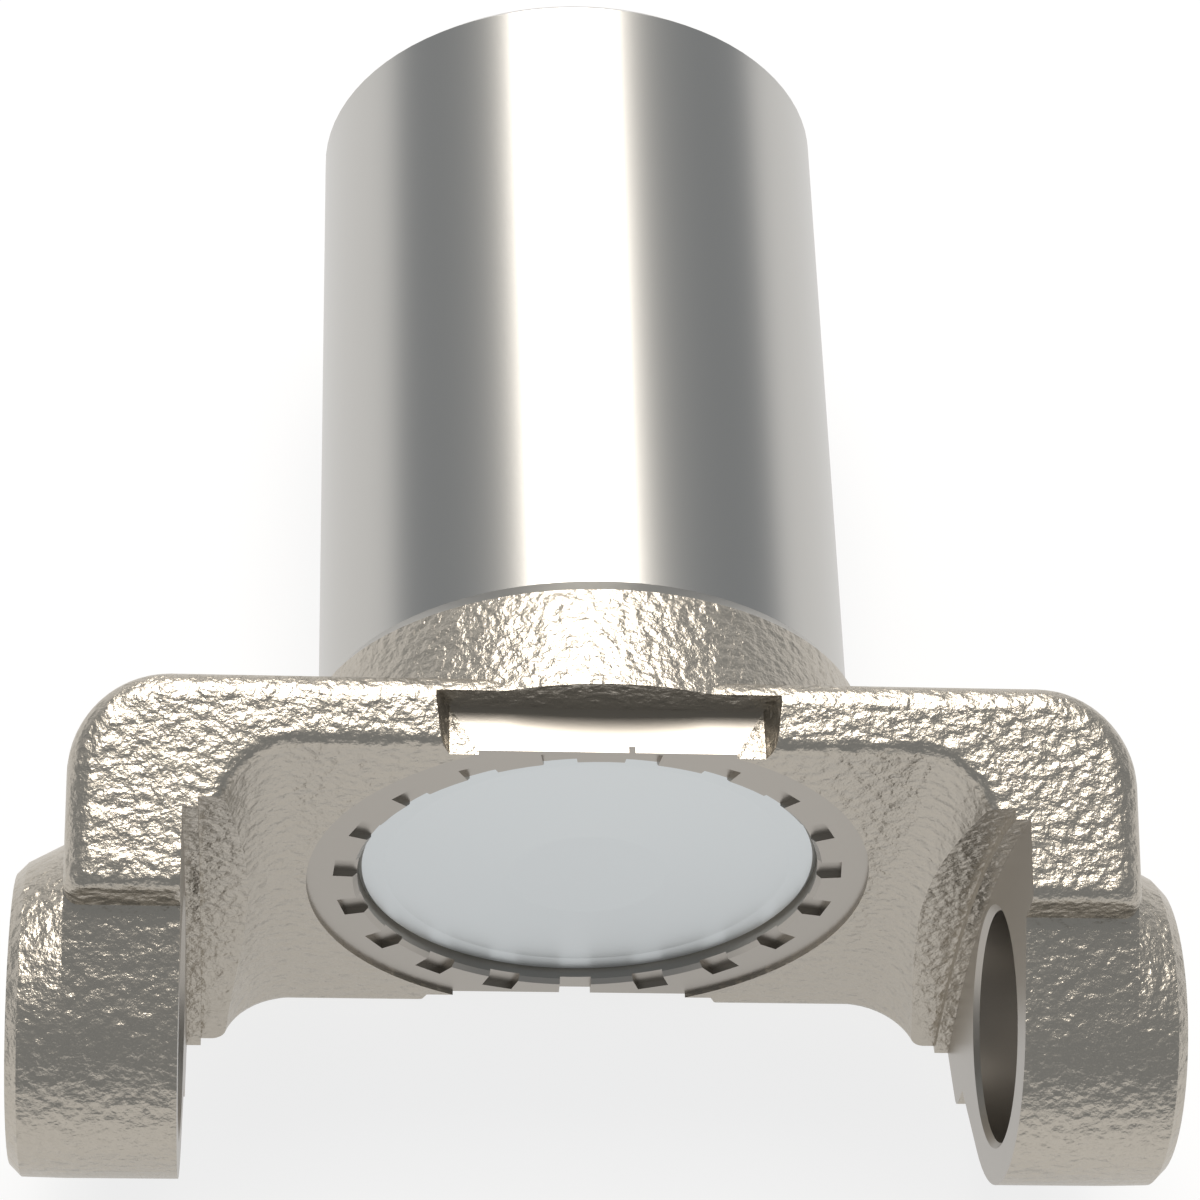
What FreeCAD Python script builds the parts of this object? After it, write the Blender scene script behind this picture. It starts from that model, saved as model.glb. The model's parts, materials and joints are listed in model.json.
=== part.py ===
import FreeCAD, Part
import math
import os
import Sketcher

# Slip yoke of a driveshaft: one steel forging with a ground, internally splined barrel and a fork
# whose two ears carry the cross of the universal joint, closed at the crotch by a pressed-in plug.
# Frame, in millimetres: the origin is where the axis of the cross bores meets the axis of the
# barrel, +X runs along the cross bores, +Y along the barrel to its open end, and +Z is up.

doc = FreeCAD.newDocument("slip_yoke")

# ---------------------------------------------------------------- driving dimensions
# Radii are from the axis of their own round; words ending in _y are places along the barrel axis.
DIMENSIONS = [
    ("barrel_radius", 24.0, "ground barrel that runs in the tail-shaft seal"),
    ("barrel_end_y", 95.4, "open end of the barrel"),
    ("barrel_rim", 1.2, "bevel around the open end"),
    ("barrel_start_y", 30.0, "where the turned barrel leaves the forged hub"),
    ("hub_bevel", 1.5, "length of the turned bevel between barrel and hub"),
    ("hub_radius", 25.1, "forged hub at the bevel"),
    ("hub_flare", 26.6, "forged hub where it joins the crossbar"),
    ("crotch_y", 13.6, "forged floor of the crotch"),
    ("fork_back_y", 20.3, "back of the crossbar"),
    ("fork_height", 26.0, "half the height of the crossbar at its back"),
    ("arm_outer", 45.0, "outer wall of the arms, from the middle"),
    ("arm_inner", 32.2, "forged inner wall of the arms, from the middle"),
    ("shoulder_round", 8.4, "outer corner of the fork, seen from above"),
    ("crotch_round", 6.4, "inner corner of the crotch, seen from above"),
    ("ledge_y", 1.8, "ledge where the raised arms end above the ears"),
    ("ledge_height", 20.6, "half the height of the arms at the ledge"),
    ("outer_edge", 2.4, "rounding of the fork's outer edges"),
    ("inner_edge", 1.3, "rounding of the crotch's edges and of the ledge"),
    ("ear_outer", 49.6, "outer face of the ears, from the middle"),
    ("ear_radius", 14.4, "round end of the ears"),
    ("ear_offset", 0.7, "centre of the ears' round, behind the bore"),
    ("ear_face", 13.4, "round end of the ears at their outer face"),
    ("ear_rim", 1.0, "bevel around the outer face of the ears"),
    ("flank_angle", 28.7, "slope of the ears' flanks, in degrees"),
    ("bore_radius", 10.13, "cross bores for the bearing caps"),
    ("bore_bevel", 0.5, "bevel at both mouths of a cross bore"),
    ("mill_face", 35.37, "milled inner faces of the ears, from the middle"),
    ("mill_reach_y", 11.2, "deepest place of the milling cutter"),
    ("mill_radius", 85.0, "milling cutter"),
    ("relief_face", 34.1, "forged relief beside the milled faces, from the middle"),
    ("relief_reach", 0.9, "how far the relief reaches past the milling"),
    ("web_reach", 42.0, "web behind the crossbar, from the middle to its tips"),
    ("web_back_y", 28.0, "back of the web where it meets the hub"),
    ("web_height", 12.0, "half the height of the web"),
    ("web_sweep", 24.0, "hollow sweep of the web from the hub to the shoulders"),
    ("web_edge", 4.0, "rounding of the web's edges"),
    ("notch_floor", 22.4, "floor of the notches in the crossbar, from the barrel axis"),
    ("notch_half_width", 13.3, "half the width of a notch at its floor"),
    ("notch_draft", 1.6, "how much wider a notch is at the crossbar's back height"),
    ("notch_back_y", 18.2, "back wall of the notches"),
    ("ring_radius", 24.9, "turned ring around the plug"),
    ("ring_depth", 0.4, "depth of the turned ring below the crotch"),
    ("seat_radius", 20.4, "counterbore that holds the plug"),
    ("seat_depth", 2.9, "depth of the counterbore below the ring"),
    ("seat_bevel", 0.4, "bevel at the mouth of the counterbore"),
    ("stake_count", 19, "punched stakes that lock the plug"),
    ("stake_turn", -8.2, "first stake, in degrees from the top of the ring"),
    ("stake_width", 2.9, "one stake across"),
    ("stake_length", 2.1, "one stake, outwards from the counterbore"),
    ("stake_depth", 0.6, "depth of a stake below the ring"),
    ("plug_thickness", 1.6, "sheet of the plug"),
    ("plug_crown", 0.9, "rise of the plug's crown"),
    ("plug_bend", 18.0, "crowned part of the plug, inside its flat rim"),
    ("plug_flat", 7.0, "flat middle of the plug's crown"),
    ("plug_bevel", 0.4, "bevel of the plug's rim"),
    ("spline_count", 32, "teeth of the internal spline"),
    ("spline_minor", 16.4, "tips of the spline teeth"),
    ("spline_major", 17.6, "roots of the spline teeth"),
    ("spline_space", 0.9, "width of a tooth space at its root"),
    ("spline_flank", 30.0, "slope of the tooth flanks, in degrees"),
    ("spline_start_y", 36.0, "inner end of the spline"),
    ("spline_end_y", 90.0, "outer end of the spline"),
    ("clear_radius", 18.3, "clearance bore behind the plug and at the open end"),
    ("lead_in", 1.2, "bevel at the spline's outer end"),
]
dim = doc.addObject("Spreadsheet::Sheet", "dim")
for row, (word, value, meaning) in enumerate(DIMENSIONS, start=1):
    dim.set(f"A{row}", word)
    dim.set(f"B{row}", str(value))
    dim.set(f"C{row}", meaning)
    dim.setAlias(f"B{row}", word)
doc.recompute()

# ---------------------------------------------------------------- helpers
def origin_part(body, role):
    """The plane or axis of a body's own origin that plays this role."""
    return next(item for item in body.Origin.OriginFeatures if item.Role == role)


def outline(body, name, plane, corners, offset=("0", "0", "0")):
    """A closed sketch through the corners, every one of them bound to the sheet.

    A corner is (across, up), or (across, up, radius, side) where the stretch that ends there is
    an arc of that radius which curves to the left (+1) or to the right (-1).
    """
    sketch = body.newObject("Sketcher::SketchObject", name)
    sketch.AttachmentSupport = (origin_part(body, plane), "")
    sketch.MapMode = "FlatFace"
    for direction, expression in zip("xyz", offset):
        sketch.setExpression(f".AttachmentOffset.Base.{direction}", expression)
    places = [FreeCAD.Vector(*(float(dim.evalExpression(text)) for text in corner[:2]), 0)
              for corner in corners]
    starts = []
    ends = []
    for index, corner in enumerate(corners):
        start, end = places[index - 1], places[index]
        if len(corner) == 2:
            piece = sketch.addGeometry(Part.LineSegment(start, end))
            starts.append((piece, 1))
            ends.append((piece, 2))
            continue
        radius, side = float(dim.evalExpression(corner[2])), corner[3]
        chord = end - start
        left = FreeCAD.Vector(-chord.y, chord.x, 0).normalize()
        reach = math.sqrt(max(radius ** 2 - (chord.Length / 2) ** 2, 0))
        centre = (start + end) / 2 + left * reach * side
        first, last = (start, end) if side > 0 else (end, start)
        angles = [math.atan2(place.y - centre.y, place.x - centre.x) for place in (first, last)]
        circle = Part.Circle(centre, FreeCAD.Vector(0, 0, 1), radius)
        piece = sketch.addGeometry(Part.ArcOfCircle(circle, *angles))
        starts.append((piece, 1 if side > 0 else 2))
        ends.append((piece, 2 if side > 0 else 1))
        sketch.addConstraint(Sketcher.Constraint("Radius", piece, radius))
        sketch.renameConstraint(sketch.ConstraintCount - 1, f"radius_{index}")
        sketch.setExpression(f"Constraints.radius_{index}", corner[2])
    for index, corner in enumerate(corners):
        following = (index + 1) % len(corners)
        sketch.addConstraint(Sketcher.Constraint("Coincident", *ends[index], *starts[following]))
        for kind, text, value in zip(("X", "Y"), corner, places[index]):
            sketch.addConstraint(Sketcher.Constraint(f"Distance{kind}", -1, 1, *ends[index], value))
            label = f"{kind.lower()}_{index}"
            sketch.renameConstraint(sketch.ConstraintCount - 1, label)
            sketch.setExpression(f"Constraints.{label}", text)
    return sketch


def disc(body, name, plane, radius, offset=("0", "0", "0")):
    """A sketch with one circle about the origin."""
    sketch = body.newObject("Sketcher::SketchObject", name)
    sketch.AttachmentSupport = (origin_part(body, plane), "")
    sketch.MapMode = "FlatFace"
    for direction, expression in zip("xyz", offset):
        sketch.setExpression(f".AttachmentOffset.Base.{direction}", expression)
    value = float(dim.evalExpression(radius))
    middle = FreeCAD.Vector(0, 0, 0)
    piece = sketch.addGeometry(Part.Circle(middle, FreeCAD.Vector(0, 0, 1), value))
    sketch.addConstraint(Sketcher.Constraint("Coincident", piece, 3, -1, 1))
    sketch.addConstraint(Sketcher.Constraint("Radius", piece, value))
    sketch.renameConstraint(sketch.ConstraintCount - 1, "radius")
    sketch.setExpression("Constraints.radius", radius)
    return sketch


def feature(body, kind, name, sketch, length=None, both_ways=False, backwards=False):
    """A pad or pocket of the sketch; without a length it goes through everything."""
    step = body.newObject(f"PartDesign::{kind}", name)
    step.Profile = (sketch, [""])
    if length is None:
        step.Type = "ThroughAll"
    else:
        step.setExpression("Length", length)
    step.SideType = "Symmetric" if both_ways else "One side"
    step.Reversed = backwards
    doc.recompute()
    return step


def turned(body, kind, name, sketch, axis):
    """A revolution or groove of the sketch about one of its own two axes."""
    step = body.newObject(f"PartDesign::{kind}", name)
    step.Profile = (sketch, [""])
    step.ReferenceAxis = (sketch, [axis])
    step.Angle = 360
    doc.recompute()
    return step


def mirrored(body, name, steps, plane="YZ_Plane"):
    """The same steps once more on the other side of a plane of the body's origin."""
    step = body.newObject("PartDesign::Mirrored", name)
    step.Originals = steps
    step.MirrorPlane = (origin_part(body, plane), [""])
    body.Tip = step
    doc.recompute()
    return step


def around_barrel(body, name, steps, count):
    """The same steps evenly spaced around the barrel axis."""
    step = body.newObject("PartDesign::PolarPattern", name)
    step.Originals = steps
    step.Axis = (origin_part(body, "Y_Axis"), [""])
    step.Angle = 360
    step.setExpression("Occurrences", count)
    body.Tip = step
    doc.recompute()
    return step


def edges_of(step, wanted):
    """Names of the edges of a step's shape that pass the test."""
    return [f"Edge{number}" for number, edge in enumerate(step.Shape.Edges, start=1) if wanted(edge)]


def dressed(body, kind, name, base, edges, size):
    """A fillet or chamfer of some edges."""
    step = body.newObject(f"PartDesign::{kind}", name)
    step.Base = (base, edges)
    step.setExpression("Radius" if kind == "Fillet" else "Size", size)
    doc.recompute()
    return step


def near(value, target):
    return abs(value - target) < 0.01

# ---------------------------------------------------------------- forging: the fork
# The fork is a thick U, seen from above, whose top and bottom fall away from the crossbar to the
# ears, as the dies leave it.
yoke = doc.addObject("PartDesign::Body", "yoke_forging")
yoke.Label = "yoke_forging"

# Behind the crossbar a lower, thicker web sweeps from the hub into the shoulders.
web_plan = outline(yoke, "web_plan", "XY_Plane", [
    ("-dim.web_reach", "dim.crotch_y"),
    ("dim.web_reach", "dim.crotch_y"),
    ("dim.web_reach", "dim.fork_back_y - dim.outer_edge"),
    ("dim.hub_radius", "dim.web_back_y", "dim.web_sweep", -1),
    ("-dim.hub_radius", "dim.web_back_y"),
    ("-dim.web_reach", "dim.fork_back_y - dim.outer_edge", "dim.web_sweep", -1),
])
web = feature(yoke, "Pad", "web", web_plan, "2 * dim.web_height", both_ways=True)


def middle(edge):
    return edge.valueAt((edge.FirstParameter + edge.LastParameter) / 2)


def behind_crossbar(edge):
    place = middle(edge)
    return near(abs(place.z), dim.web_height) and place.y > dim.fork_back_y - dim.outer_edge


web_rounds = dressed(yoke, "Fillet", "web_rounds", web, edges_of(web, behind_crossbar),
                     "dim.web_edge")

fork_plan = outline(yoke, "fork_plan", "XY_Plane", [
    ("dim.arm_outer", "dim.ledge_y"),
    ("dim.arm_outer", "dim.fork_back_y - dim.shoulder_round"),
    ("dim.arm_outer - dim.shoulder_round", "dim.fork_back_y", "dim.shoulder_round", 1),
    ("-dim.arm_outer + dim.shoulder_round", "dim.fork_back_y"),
    ("-dim.arm_outer", "dim.fork_back_y - dim.shoulder_round", "dim.shoulder_round", 1),
    ("-dim.arm_outer", "dim.ledge_y"),
])
fork_blank = feature(yoke, "Pad", "fork_blank", fork_plan, "2 * dim.fork_height", both_ways=True)

taper_above = outline(yoke, "taper_above", "YZ_Plane", [
    ("dim.ledge_y", "dim.ledge_height"),
    ("dim.fork_back_y", "dim.fork_height"),
    ("dim.ledge_y", "dim.fork_height"),
])
taper_cut = feature(yoke, "Pocket", "taper_cut", taper_above, both_ways=True)
taper_both = mirrored(yoke, "taper_both", [taper_cut], "XY_Plane")

crotch_plan = outline(yoke, "crotch_plan", "XY_Plane", [
    ("-dim.arm_inner", "-dim.ear_radius"),
    ("dim.arm_inner", "-dim.ear_radius"),
    ("dim.arm_inner", "dim.crotch_y - dim.crotch_round"),
    ("dim.arm_inner - dim.crotch_round", "dim.crotch_y", "dim.crotch_round", 1),
    ("-dim.arm_inner + dim.crotch_round", "dim.crotch_y"),
    ("-dim.arm_inner", "dim.crotch_y - dim.crotch_round", "dim.crotch_round", 1),
])
crotch_cut = feature(yoke, "Pocket", "crotch_cut", crotch_plan, both_ways=True)


def fall(y):
    """Half the height of the fork at a place along the barrel axis."""
    share = (y - dim.ledge_y) / (dim.fork_back_y - dim.ledge_y)
    return dim.ledge_height + share * (dim.fork_height - dim.ledge_height)


def on_top_or_bottom(edge):
    place = middle(edge)
    return all(near(abs(vertex.Z), fall(vertex.Y)) for vertex in edge.Vertexes) and \
        near(abs(place.z), fall(place.y))


def around_outside(edge):
    place = middle(edge)
    return on_top_or_bottom(edge) and (abs(place.x) > dim.arm_outer - dim.shoulder_round
                                       or place.y > dim.crotch_y + 1) and place.y > dim.ledge_y + 0.01


def around_inside(edge):
    return on_top_or_bottom(edge) and not around_outside(edge)


outer_rounds = dressed(yoke, "Fillet", "outer_rounds", crotch_cut,
                       edges_of(crotch_cut, around_outside), "dim.outer_edge")
inner_rounds = dressed(yoke, "Fillet", "inner_rounds", outer_rounds,
                       edges_of(outer_rounds, around_inside), "dim.inner_edge")

# ---------------------------------------------------------------- forging: the ears
# Each ear has a round end and straight flanks that run up under the ledge of its arm. A round boss
# stands out past the arm's outer wall.
flank_foot = "dim.ear_offset - dim.ear_radius * sin(dim.flank_angle * 1 deg)"
flank_side = "dim.ear_radius * cos(dim.flank_angle * 1 deg)"
flank_back = "dim.ledge_y + 2 * dim.inner_edge"
flank_top = f"({flank_side} + ({flank_back} - ({flank_foot})) * tan(dim.flank_angle * 1 deg))"
ear_side = outline(yoke, "ear_side", "YZ_Plane", [
    (flank_foot, flank_side),
    (flank_foot, f"-{flank_side}", "dim.ear_radius", 1),
    (flank_back, f"-{flank_top}"),
    (flank_back, flank_top),
], offset=("0", "0", "dim.arm_inner"))
ear = feature(yoke, "Pad", "ear", ear_side, "dim.arm_outer - dim.arm_inner")

# The boss is drafted outwards, but not at its foot, and ends in a bevelled rim.
face_middle = "(dim.ear_offset - dim.ear_radius + dim.ear_face)"
boss_root = disc(yoke, "boss_root", "YZ_Plane", "dim.ear_radius",
                 ("dim.ear_offset", "0", "dim.arm_outer"))
boss_edge = disc(yoke, "boss_edge", "YZ_Plane", "dim.ear_face",
                 (face_middle, "0", "dim.ear_outer - dim.ear_rim"))
boss_face = disc(yoke, "boss_face", "YZ_Plane", "dim.ear_face - dim.ear_rim",
                 (face_middle, "0", "dim.ear_outer"))
boss = yoke.newObject("PartDesign::AdditiveLoft", "boss")
boss.Profile = (boss_root, [""])
boss.Sections = [(boss_edge, [""]), (boss_face, [""])]
boss.Ruled = True
doc.recompute()
ears = mirrored(yoke, "ears", [ear, boss])

# ---------------------------------------------------------------- forging: hub and barrel
# The hub flares a little towards the crossbar. The barrel is turned and ground, with a turned
# bevel where it leaves the forged skin.
hub_profile = outline(yoke, "hub_profile", "XY_Plane", [
    ("0", "dim.crotch_y"),
    ("dim.hub_flare", "dim.crotch_y"),
    ("dim.hub_flare", "dim.notch_back_y"),
    ("dim.hub_radius", "dim.barrel_start_y - dim.hub_bevel"),
    ("dim.barrel_radius", "dim.barrel_start_y"),
    ("dim.barrel_radius", "dim.barrel_end_y - dim.barrel_rim"),
    ("dim.barrel_radius - dim.barrel_rim", "dim.barrel_end_y"),
    ("0", "dim.barrel_end_y"),
])
barrel = turned(yoke, "Revolution", "barrel", hub_profile, "V_Axis")

# ---------------------------------------------------------------- forging: notches in the crossbar
# A shallow notch in the middle of the crossbar, above and below, opens to the crotch.
notch_face = outline(yoke, "notch_face", "XZ_Plane", [
    ("-dim.notch_half_width", "dim.notch_floor"),
    ("dim.notch_half_width", "dim.notch_floor"),
    ("dim.notch_half_width + dim.notch_draft", "dim.fork_height"),
    ("dim.notch_half_width + dim.notch_draft", "dim.hub_flare + dim.inner_edge"),
    ("-dim.notch_half_width - dim.notch_draft", "dim.hub_flare + dim.inner_edge"),
    ("-dim.notch_half_width - dim.notch_draft", "dim.fork_height"),
], offset=("0", "0", "-dim.crotch_y"))
notch = feature(yoke, "Pocket", "notch", notch_face, "dim.notch_back_y - dim.crotch_y")
notches = mirrored(yoke, "notches", [notch], "XY_Plane")

# ---------------------------------------------------------------- machining: ears
# The inner faces of the ears are milled flat by a large side cutter that runs in from the open
# side, inside a slightly deeper reaching forged relief.
def milling(name, face, reach):
    """Slot between the ears out to a face, with the cutter's arc at its deep end."""
    corner = f"{reach} - dim.mill_radius + sqrt(dim.mill_radius ^ 2 - dim.fork_height ^ 2)"
    side = outline(yoke, f"{name}_side", "YZ_Plane", [
        ("-2 * dim.ear_radius", "-dim.fork_height"),
        (corner, "-dim.fork_height"),
        (corner, "dim.fork_height", "dim.mill_radius", 1),
        ("-2 * dim.ear_radius", "dim.fork_height"),
    ])
    return feature(yoke, "Pocket", name, side, f"2 * {face}", both_ways=True)


relief = milling("relief", "dim.relief_face", "(dim.mill_reach_y + dim.relief_reach)")
milled = milling("milled", "dim.mill_face", "dim.mill_reach_y")

bore_round = disc(yoke, "bore_round", "YZ_Plane", "dim.bore_radius")
cross_bores = feature(yoke, "Pocket", "cross_bores", bore_round, both_ways=True)


def around_bore_mouth(edge):
    return edge.Curve.TypeId == "Part::GeomCircle" and near(edge.Curve.Radius, dim.bore_radius)


bore_bevels = dressed(yoke, "Chamfer", "bore_bevels", cross_bores,
                      edges_of(cross_bores, around_bore_mouth), "dim.bore_bevel")

# ---------------------------------------------------------------- machining: plug seat
# A shallow turned ring surrounds the counterbore that holds the plug. After the plug is in, a
# punch stakes the ring's inner edge over it all the way around.
ring_round = disc(yoke, "ring_round", "XZ_Plane", "dim.ring_radius", ("0", "0", "-dim.crotch_y"))
ring = feature(yoke, "Pocket", "ring", ring_round, "dim.ring_depth")

ring_y = "(dim.crotch_y + dim.ring_depth)"
seat_y = f"({ring_y} + dim.seat_depth)"
inner_profile = outline(yoke, "inner_profile", "XY_Plane", [
    ("0", ring_y),
    ("dim.seat_radius + dim.seat_bevel", ring_y),
    ("dim.seat_radius", f"{ring_y} + dim.seat_bevel"),
    ("dim.seat_radius", seat_y),
    ("dim.clear_radius", seat_y),
    ("dim.clear_radius", "dim.spline_start_y"),
    ("dim.spline_minor", "dim.spline_start_y"),
    ("dim.spline_minor", "dim.spline_end_y - dim.lead_in"),
    ("dim.clear_radius", "dim.spline_end_y"),
    ("dim.clear_radius", "dim.barrel_end_y - dim.barrel_rim"),
    ("dim.clear_radius + dim.barrel_rim", "dim.barrel_end_y"),
    ("0", "dim.barrel_end_y"),
])
inner_bore = turned(yoke, "Groove", "inner_bore", inner_profile, "V_Axis")

stake_mark = outline(yoke, "stake_mark", "XZ_Plane", [
    ("-dim.stake_width / 2", "dim.seat_radius - dim.seat_bevel"),
    ("dim.stake_width / 2", "dim.seat_radius - dim.seat_bevel"),
    ("dim.stake_width / 2", "dim.seat_radius + dim.stake_length"),
    ("-dim.stake_width / 2", "dim.seat_radius + dim.stake_length"),
], offset=("0", "0", f"-{ring_y}"))
stake_mark.setExpression(".AttachmentOffset.Rotation.Angle", "dim.stake_turn * 1 deg")
stake = feature(yoke, "Pocket", "stake", stake_mark, "dim.stake_depth")
stakes = around_barrel(yoke, "stakes", [stake], "dim.stake_count")

# ---------------------------------------------------------------- machining: internal spline
# Straight-sided tooth spaces broached through the land between the two clearance bores.
space_top = "dim.spline_space / 2"
space_foot = ("dim.spline_space / 2 + (dim.spline_major - dim.spline_minor + dim.lead_in)"
              " * tan(dim.spline_flank * 1 deg)")
tooth_space = outline(yoke, "tooth_space", "XZ_Plane", [
    (f"-({space_foot})", "dim.spline_minor - dim.lead_in"),
    (space_foot, "dim.spline_minor - dim.lead_in"),
    (space_top, "dim.spline_major"),
    (f"-{space_top}", "dim.spline_major"),
], offset=("0", "0", "-dim.spline_start_y"))
space = feature(yoke, "Pocket", "space", tooth_space, "dim.spline_end_y - dim.spline_start_y")
spline = around_barrel(yoke, "spline", [space], "dim.spline_count")

# ---------------------------------------------------------------- welch plug
# A stamped disc of zinc-plated sheet, crowned towards the crotch inside a flat rim, and seated on
# the floor of the counterbore.
plug = doc.addObject("PartDesign::Body", "welch_plug")
plug.Label = "welch_plug"
plug_face = f"({seat_y} - dim.plug_thickness)"
plug_profile = outline(plug, "plug_profile", "XY_Plane", [
    ("0", f"{plug_face} - dim.plug_crown"),
    ("0", seat_y),
    ("dim.seat_radius", seat_y),
    ("dim.seat_radius", f"{plug_face} + dim.plug_bevel"),
    ("dim.seat_radius - dim.plug_bevel", plug_face),
    ("dim.plug_bend", plug_face),
    ("dim.plug_flat", f"{plug_face} - dim.plug_crown"),
])
plug_sheet = turned(plug, "Revolution", "plug_sheet", plug_profile, "V_Axis")

# ---------------------------------------------------------------- checks and files
bodies = [yoke, plug]
doc.recompute()
for item in doc.Objects:
    if "Invalid" in item.State or "Error" in item.State:
        raise RuntimeError(f"{item.Name} could not be built: {item.State}")
for body in bodies:
    if body.Shape.isNull() or not body.Shape.isValid() or len(body.Shape.Solids) != 1:
        raise RuntimeError(f"{body.Label} is not one sound solid")
os.makedirs("parts", exist_ok=True)
for body in bodies:
    body.Shape.exportStep(f"parts/{body.Label}.step")
    print(body.Label, round(body.Shape.Volume), body.Shape.BoundBox)
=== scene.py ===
import json
import math

import bpy
from mathutils import Matrix, Vector


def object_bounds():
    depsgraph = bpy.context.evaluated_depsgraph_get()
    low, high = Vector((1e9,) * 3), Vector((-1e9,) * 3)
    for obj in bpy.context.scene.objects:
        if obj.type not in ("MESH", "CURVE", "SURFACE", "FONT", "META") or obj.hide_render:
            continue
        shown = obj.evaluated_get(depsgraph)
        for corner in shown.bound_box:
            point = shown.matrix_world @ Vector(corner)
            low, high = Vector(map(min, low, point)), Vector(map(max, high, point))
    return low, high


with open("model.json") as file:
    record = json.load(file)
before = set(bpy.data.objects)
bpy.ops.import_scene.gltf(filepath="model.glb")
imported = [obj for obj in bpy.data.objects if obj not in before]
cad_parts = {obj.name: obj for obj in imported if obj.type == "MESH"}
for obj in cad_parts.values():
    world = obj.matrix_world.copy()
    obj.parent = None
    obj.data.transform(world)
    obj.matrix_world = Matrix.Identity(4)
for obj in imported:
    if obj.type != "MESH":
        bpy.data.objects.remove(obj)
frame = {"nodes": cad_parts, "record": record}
cad_low, cad_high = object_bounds()

# ---------------------------------------------------------------- yoke forging
# The yoke is one drop forging of alloy steel, blasted clean. Its barrel is then ground to run in a
# seal, and the ears, the crotch and the bore are milled, bored and broached where other parts seat.
yoke = frame["nodes"]["yoke_forging"]
mounts = {mount["name"]: mount for mount in frame["record"]["mounts"]}
seal_surface = mounts["barrel_seal_surface"]
barrel_start = seal_surface["pos_m"][1] - seal_surface["dims"]["length_mm"] / 2000
hub_bevel = 0.0016                      # length of the turned bevel between hub and barrel
barrel_inside = 0.0185                  # the barrel's ground and turned faces lie outside this
bore_outside = 0.0186                   # the clearance bores and the spline lie inside this
ring_outside = 0.0251                   # turned ring around the plug
ring_y, seat_y = 0.0138, 0.0174         # just past the ring, and the floor of the plug's seat
cross_bore = mounts["cross_bore"]["dims"]["r_mm"] / 1000
mouth_bevel = 1.06                      # a bore's bevelled mouth, against the bore itself
relief_face = 0.034                     # forged relief inside the ears, from the middle
mill_face = 0.03537                     # milled inner faces of the ears, from the middle
mill_slack = 0.0001
nearly_square = 0.99
relief_detail = 4.0


class Nodes:
    """A node tree, with short words for making its nodes and joining them."""

    def __init__(self, tree):
        self.tree = tree
        self.tree.nodes.clear()

    def node(self, kind, settings=None, **inputs):
        """Make a node. An input is a socket or a value; _1 is the second input, for twins."""
        made = self.tree.nodes.new(f"ShaderNode{kind}")
        for name, value in (settings or {}).items():
            setattr(made, name, value)
        for name, value in inputs.items():
            if name[0] == "_":
                socket = made.inputs[int(name[1:])]
            else:
                socket = made.inputs[name.replace("_", " ")]
            if isinstance(value, bpy.types.NodeSocket):
                self.tree.links.new(value, socket)
            else:
                socket.default_value = value
        return made


def new_finish(name):
    """An empty material and its nodes."""
    material = bpy.data.materials.new(name)
    material.use_nodes = True
    return material, Nodes(material.node_tree)


def make_fine_relief():
    """Shader group: the uneven relief that blasting, grinding, cutting or plating leaves."""
    tree = bpy.data.node_groups.new("fine_relief", "ShaderNodeTree")
    group = Nodes(tree)
    for word, kind in (("Position", "Vector"), ("Scale", "Float"), ("Depth", "Float")):
        tree.interface.new_socket(word, in_out="INPUT", socket_type=f"NodeSocket{kind}")
    tree.interface.new_socket("Normal", in_out="OUTPUT", socket_type="NodeSocketVector")
    given = tree.nodes.new("NodeGroupInput").outputs
    unevenness = group.node("TexNoise", Vector=given["Position"], Scale=given["Scale"],
                            Detail=relief_detail)
    bump = group.node("Bump", Height=unevenness.outputs[0], Strength=1.0,
                      Distance=given["Depth"])
    result = tree.nodes.new("NodeGroupOutput")
    tree.links.new(bump.outputs["Normal"], result.inputs["Normal"])
    return tree


fine_relief = make_fine_relief()


def metal(name, colour, roughness, relief_scale, relief_depth):
    """A bare or plated metal with its own colour, dullness and relief."""
    material, finish = new_finish(name)
    place = finish.node("TexCoord").outputs["Object"]
    relief = finish.node("Group", {"node_tree": fine_relief}, Position=place,
                         Scale=relief_scale, Depth=relief_depth)
    surface = finish.node("BsdfPrincipled", Base_Color=(*colour, 1), Metallic=1.0,
                          Roughness=roughness, Normal=relief.outputs["Normal"])
    finish.node("OutputMaterial", Surface=surface.outputs[0])
    return material


forged_skin = metal("forged_skin", colour=(0.50, 0.46, 0.40), roughness=0.35,
                    relief_scale=900, relief_depth=0.0004)
ground_steel = metal("ground_steel", colour=(0.50, 0.49, 0.47), roughness=0.30,
                     relief_scale=3000, relief_depth=0.000002)
machined_steel = metal("machined_steel", colour=(0.45, 0.42, 0.38), roughness=0.35,
                       relief_scale=3000, relief_depth=0.000004)


def steel_of(face):
    """Which of the three finishes a face of the forging has, by where it lies."""
    x, y, z = face.center
    around_barrel = math.hypot(x, z)
    around_cross = math.hypot(y, z)
    if y > barrel_start - hub_bevel and around_barrel > barrel_inside:
        return ground_steel
    if around_barrel < ring_outside and ring_y < y < seat_y:
        return machined_steel
    if around_barrel < bore_outside and y > ring_y:
        return machined_steel
    if around_cross < cross_bore * mouth_bevel and abs(x) > relief_face:
        return machined_steel
    if abs(face.normal.x) > nearly_square and abs(abs(x) - mill_face) < mill_slack:
        return machined_steel
    return forged_skin


steels = (forged_skin, ground_steel, machined_steel)
yoke.data.materials.clear()
for steel in steels:
    yoke.data.materials.append(steel)
for face in yoke.data.polygons:
    face.material_index = steels.index(steel_of(face))

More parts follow.
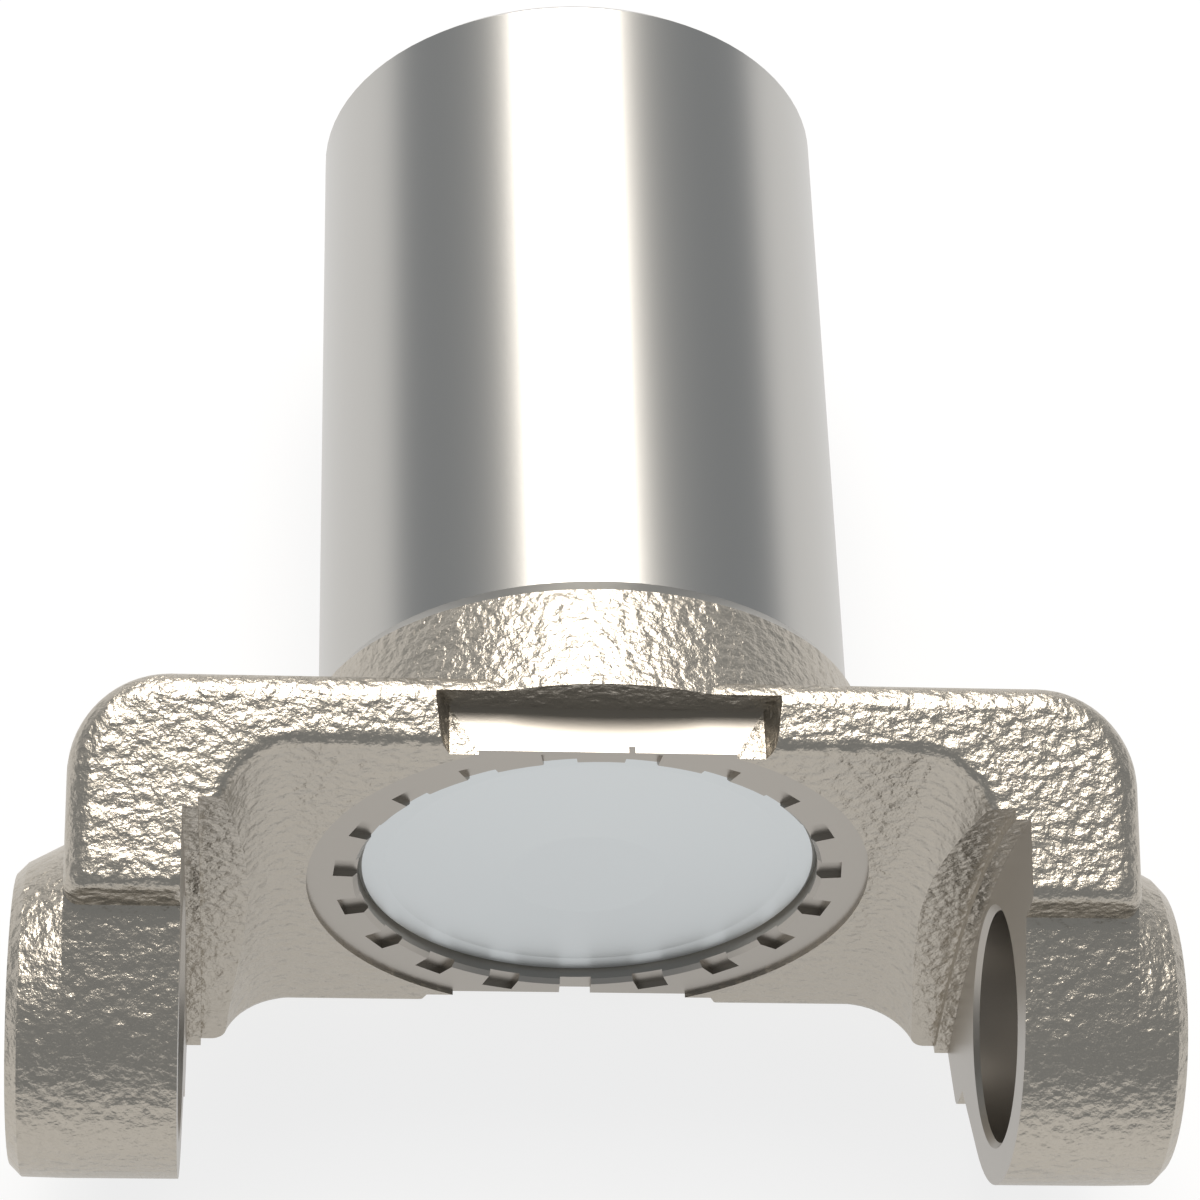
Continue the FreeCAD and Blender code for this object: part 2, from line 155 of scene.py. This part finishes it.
# ---------------------------------------------------------------- welch plug
# The plug closes the bore at the crotch. It is a disc of zinc-plated sheet steel, crowned in a
# press, set into its counterbore, and held by metal that a punch has pushed over its rim.
plug = frame["nodes"]["welch_plug"]
plug.data.materials.clear()
plug.data.materials.append(metal("zinc_plate", colour=(0.72, 0.75, 0.76), roughness=0.4,
                                 relief_scale=2000, relief_depth=0.000004))

# ---------------------------------------------------------------- floor
# A plain pale table under the part, not a piece of it. It takes the part's soft shadow, and is
# mostly plain white to the camera and in reflections.
floor_reach = 3.0
floor_colour = (0.85, 0.85, 0.85)
white_share = 0.8
corners = [(-floor_reach, -floor_reach, 0), (floor_reach, -floor_reach, 0),
           (floor_reach, floor_reach, 0), (-floor_reach, floor_reach, 0)]
floor_mesh = bpy.data.meshes.new("floor")
floor_mesh.from_pydata(corners, [], [(0, 1, 2, 3)])
floor = bpy.data.objects.new("floor", floor_mesh)
floor.location.z = cad_low.z
bpy.context.scene.collection.objects.link(floor)
floor_white, finish = new_finish("floor_white")
light_path = finish.node("LightPath").outputs
seen = finish.node("Math", {"operation": "MAXIMUM"}, _0=light_path["Is Camera Ray"],
                   _1=light_path["Is Glossy Ray"])
seen = finish.node("Math", {"operation": "MAXIMUM"}, _0=seen.outputs[0],
                   _1=light_path["Is Transmission Ray"])
share = finish.node("Math", {"operation": "MULTIPLY"}, _0=seen.outputs[0], _1=white_share)
table = finish.node("BsdfDiffuse", Color=(*floor_colour, 1))
white = finish.node("Emission", Color=(1, 1, 1, 1), Strength=1.0)
mixed = finish.node("MixShader", Fac=share.outputs[0], _1=table.outputs[0],
                    _2=white.outputs[0])
finish.node("OutputMaterial", Surface=mixed.outputs[0])
floor.data.materials.append(floor_white)

# ---------------------------------------------------------------- studio light
# A dim, slightly cool room with one warm soft box, which stands behind the barrel and leans over
# the part.
room_colour = (0.9, 0.95, 1.0)
room_strength = 0.35
box_colour = (1, 0.95, 0.88)
box_power = 14.0                        # watts
box_size, box_size_y = 0.55, 0.9
box_offset = Vector((-0.05, 0.55, 0.85))
middle = (cad_low + cad_high) / 2

world = bpy.data.worlds.new("studio")
bpy.context.scene.world = world
world.use_nodes = True
background = world.node_tree.nodes["Background"]
background.inputs["Color"].default_value = (*room_colour, 1)
background.inputs["Strength"].default_value = room_strength

soft_box = bpy.data.objects.new("overhead", bpy.data.lights.new("overhead", "AREA"))
soft_box.data.shape = "RECTANGLE"
soft_box.data.size, soft_box.data.size_y = box_size, box_size_y
soft_box.data.energy = box_power
soft_box.data.color = box_colour
soft_box.location = middle + box_offset
soft_box.rotation_mode = "QUATERNION"
soft_box.rotation_quaternion = (-box_offset).to_track_quat("-Z", "Y")
bpy.context.scene.collection.objects.link(soft_box)

# ---------------------------------------------------------------- camera
# The part lies on its side. The camera looks down on it from the open side of the fork, a little
# from the left and a little tilted, so that the crotch and the plug face it.
eye = Vector((-0.0278606, -0.1495297, 0.3046984))
turn, dip, lean = 0.15313, 1.00129, 0.14931
lens, sensor = 117.129, 36              # millimetres
near_clip, far_clip = 0.01, 20

ahead = Vector((math.sin(turn) * math.cos(dip), math.cos(turn) * math.cos(dip), -math.sin(dip)))
level_right = Vector((math.cos(turn), -math.sin(turn), 0))
level_up = level_right.cross(ahead)
right = math.cos(lean) * level_right + math.sin(lean) * level_up
up = math.cos(lean) * level_up - math.sin(lean) * level_right
camera = bpy.data.objects.new("camera", bpy.data.cameras.new("camera"))
facing = Matrix((right, up, -ahead)).transposed().to_4x4()
camera.matrix_world = Matrix.Translation(eye) @ facing
camera.data.sensor_width = sensor
camera.data.lens = lens
camera.data.clip_start = near_clip
camera.data.clip_end = far_clip
bpy.context.scene.collection.objects.link(camera)
bpy.context.scene.camera = camera
bpy.context.scene.view_settings.view_transform = "Standard"
